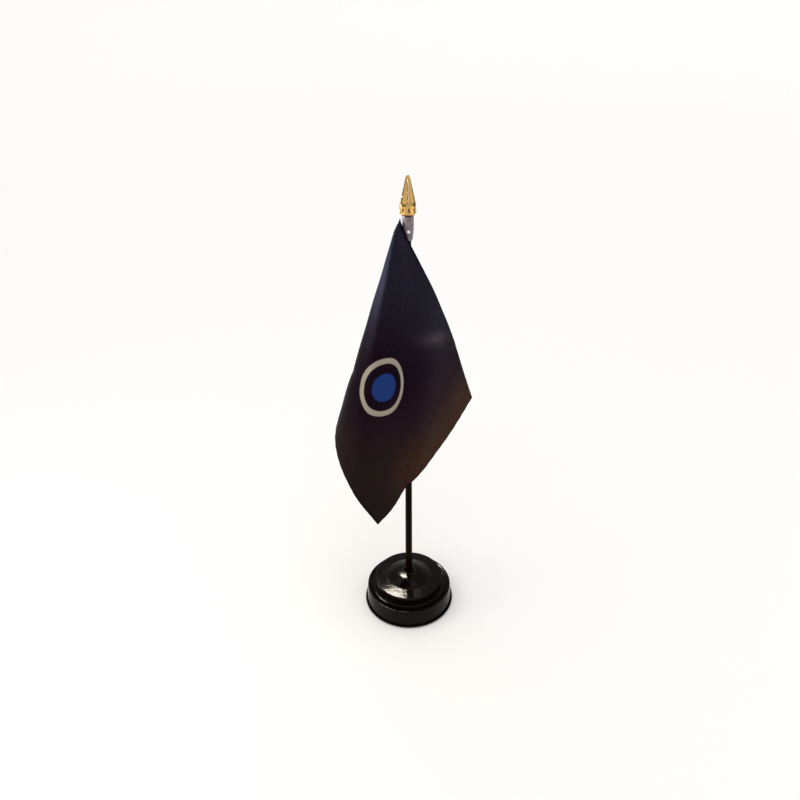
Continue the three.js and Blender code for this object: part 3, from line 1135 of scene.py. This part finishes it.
    def stitch_run(self, mesh: bmesh.types.BMesh, start: Vector, end: Vector, side: Face) -> None:
        """Adds one straight row of stitches to the mesh.

        Args:
            mesh: the mesh that takes them.
            start: the row's start on the flat cloth.
            end: its end.
            side: the face of the cloth that they lie on.
        """
        count = int((end - start).length / self.pitch)
        along = (end - start).normalized()
        layers = self.thickness * (0.5 if side is Face.PRINTED else 1.5) + self.gap
        half = self.stitch_length / 2, self.stitch_width / 2, self.stitch_width / 3
        for i in range(count):
            middle = start + along * (self.pitch * (i + 0.5))
            here = self.drape.hang(*middle)
            ahead = (self.drape.hang(*(middle + along * 0.5 * MM)) - here).normalized()
            out = self.drape.normal(*middle)
            turned = Matrix((ahead, out.cross(ahead), out)).transposed().to_4x4()
            place = self.hang(side.value * layers, *middle)
            matrix = Matrix.Translation(place) @ turned @ Matrix.Diagonal((*half, 1.0))
            bmesh.ops.create_icosphere(mesh, subdivisions=1, radius=1.0, matrix=matrix)


def smooth(value: float, low: float, high: float) -> float:
    """Goes smoothly from 0 at low to 1 at high."""
    share = min(max((value - low) / (high - low), 0.0), 1.0)
    return share * share * (3.0 - 2.0 * share)


def band(value: float, foot: float, top: float, edge: float, end: float) -> float:
    """Rises smoothly from 0 at foot to 1 at top, and falls back from edge to 0 at end."""
    return smooth(value, foot, top) * (1.0 - smooth(value, edge, end))


def bell(value: float, middle: float, width: float) -> float:
    """Gives 1 at the middle, falling off like a bell to either side."""
    return math.exp(-(((value - middle) / width) ** 2))


# ---- studio ----


@dataclass
class Studio:
    """A pale floor, soft studio light and the camera."""

    floor_radius: float = 3.0
    rim_radius: float = 5.0
    floor_colour: Colour = (0.93, 0.93, 0.93)
    lean: float = 0.2
    look_down: float = 29.24

    def build(self) -> None:
        """Makes the floor, the lights and the camera."""
        bpy.context.scene.view_settings.view_transform = "Standard"
        self.make_floor()
        self.make_sky()
        self.make_lights()
        self.make_camera()

    def make_floor(self) -> None:
        """Makes the plain pale floor just under the felt pad, swept up at its rim."""
        profile = [(0.0, 0.0)]
        for i in range(17):
            turned = math.radians(80.0) * i / 16
            out = self.rim_radius * math.sin(turned)
            profile.append((self.floor_radius + out, self.rim_radius * (1.0 - math.cos(turned))))
        shader = Shader("pale floor")
        shader.set(Base_Color=self.floor_colour, Roughness=0.9, Specular_IOR_Level=0.1)
        link_mesh("floor", turn(profile, 96), shader.material)

    def make_sky(self) -> None:
        """Lights the scene evenly from all round."""
        world = bpy.data.worlds.new("studio")
        world.use_nodes = True
        background = world.node_tree.nodes["Background"]
        background.inputs["Color"].default_value = (1.0, 0.99, 0.975, 1.0)
        background.inputs["Strength"].default_value = 0.675
        bpy.context.scene.world = world

    def make_lights(self) -> None:
        """Makes a soft skylight, a lamp seen only in reflections, two warm panels and a bluish window."""
        sun = bpy.data.lights.new("skylight", "SUN")
        sun.energy = 1.15
        sun.angle = math.radians(80.0)
        sun.color = (1.0, 0.985, 0.96)
        self.hang_lamp(sun, Vector((-0.9, -1.0, 3.0)), Vector((0.0, 0.0, 0.0)))
        panels = [
            ("lamp", (-0.085, 0.30, 0.53), 0.17, 9.5, (1.0, 0.93, 0.80)),
            ("warm panel", (0.55, -0.30, 0.16), 0.35, 0.22, (1.0, 0.76, 0.52)),
            ("low panel", (-0.42, -0.16, 0.11), 0.22, 0.55, (1.0, 0.76, 0.55)),
        ]
        for name, place, size, power, colour in panels:
            light = bpy.data.lights.new(name, "AREA")
            light.shape = "DISK"
            light.size = size
            light.energy = power
            light.color = colour
            lamp = self.hang_lamp(light, Vector(place), Vector((0.0, 0.0, 0.10)))
            lamp.visible_diffuse = name != "lamp"
        window = bpy.data.lights.new("window", "SPOT")
        window.energy = 11.0
        window.spot_size = math.radians(17.0)
        window.spot_blend = 0.9
        window.shadow_soft_size = 0.03
        window.color = (0.72, 0.86, 1.0)
        self.hang_lamp(window, Vector((-0.24, 0.05, 0.235)), Vector((-0.012, 0.0, 0.214)))

    @staticmethod
    def hang_lamp(light: bpy.types.Light, place: Vector, target: Vector) -> bpy.types.Object:
        """Hangs a lamp at a place, turns it towards a target and gives its object."""
        lamp = bpy.data.objects.new(light.name, light)
        lamp.location = place
        lamp.rotation_euler = (target - place).to_track_quat("-Z", "Y").to_euler()
        bpy.context.scene.collection.objects.link(lamp)
        return lamp

    def make_camera(self) -> None:
        """Makes the camera, above the flag's printed face and looking down at it."""
        data = bpy.data.cameras.new("camera")
        data.sensor_width = 36.0
        data.lens = 31.5
        data.shift_x = -0.009
        data.clip_start = 0.01
        camera = bpy.data.objects.new("camera", data)
        camera.location = (0.0, -0.3307, 0.3292)
        camera.rotation_euler = (math.radians(90.0 - self.look_down), math.radians(self.lean), 0.0)
        bpy.context.scene.collection.objects.link(camera)
        bpy.context.scene.camera = camera


def main() -> None:
    """Builds the studio and each sub-assembly in order, and writes down how large the result is."""
    logging.basicConfig(level=logging.INFO, format="%(name)s: %(message)s")
    Studio().build()
    Base().build()
    Staff().build()
    Flag(Drape(Vector((-4.8, -1.6, 242.8)) * MM)).build()


if __name__ == "__main__":
    main()
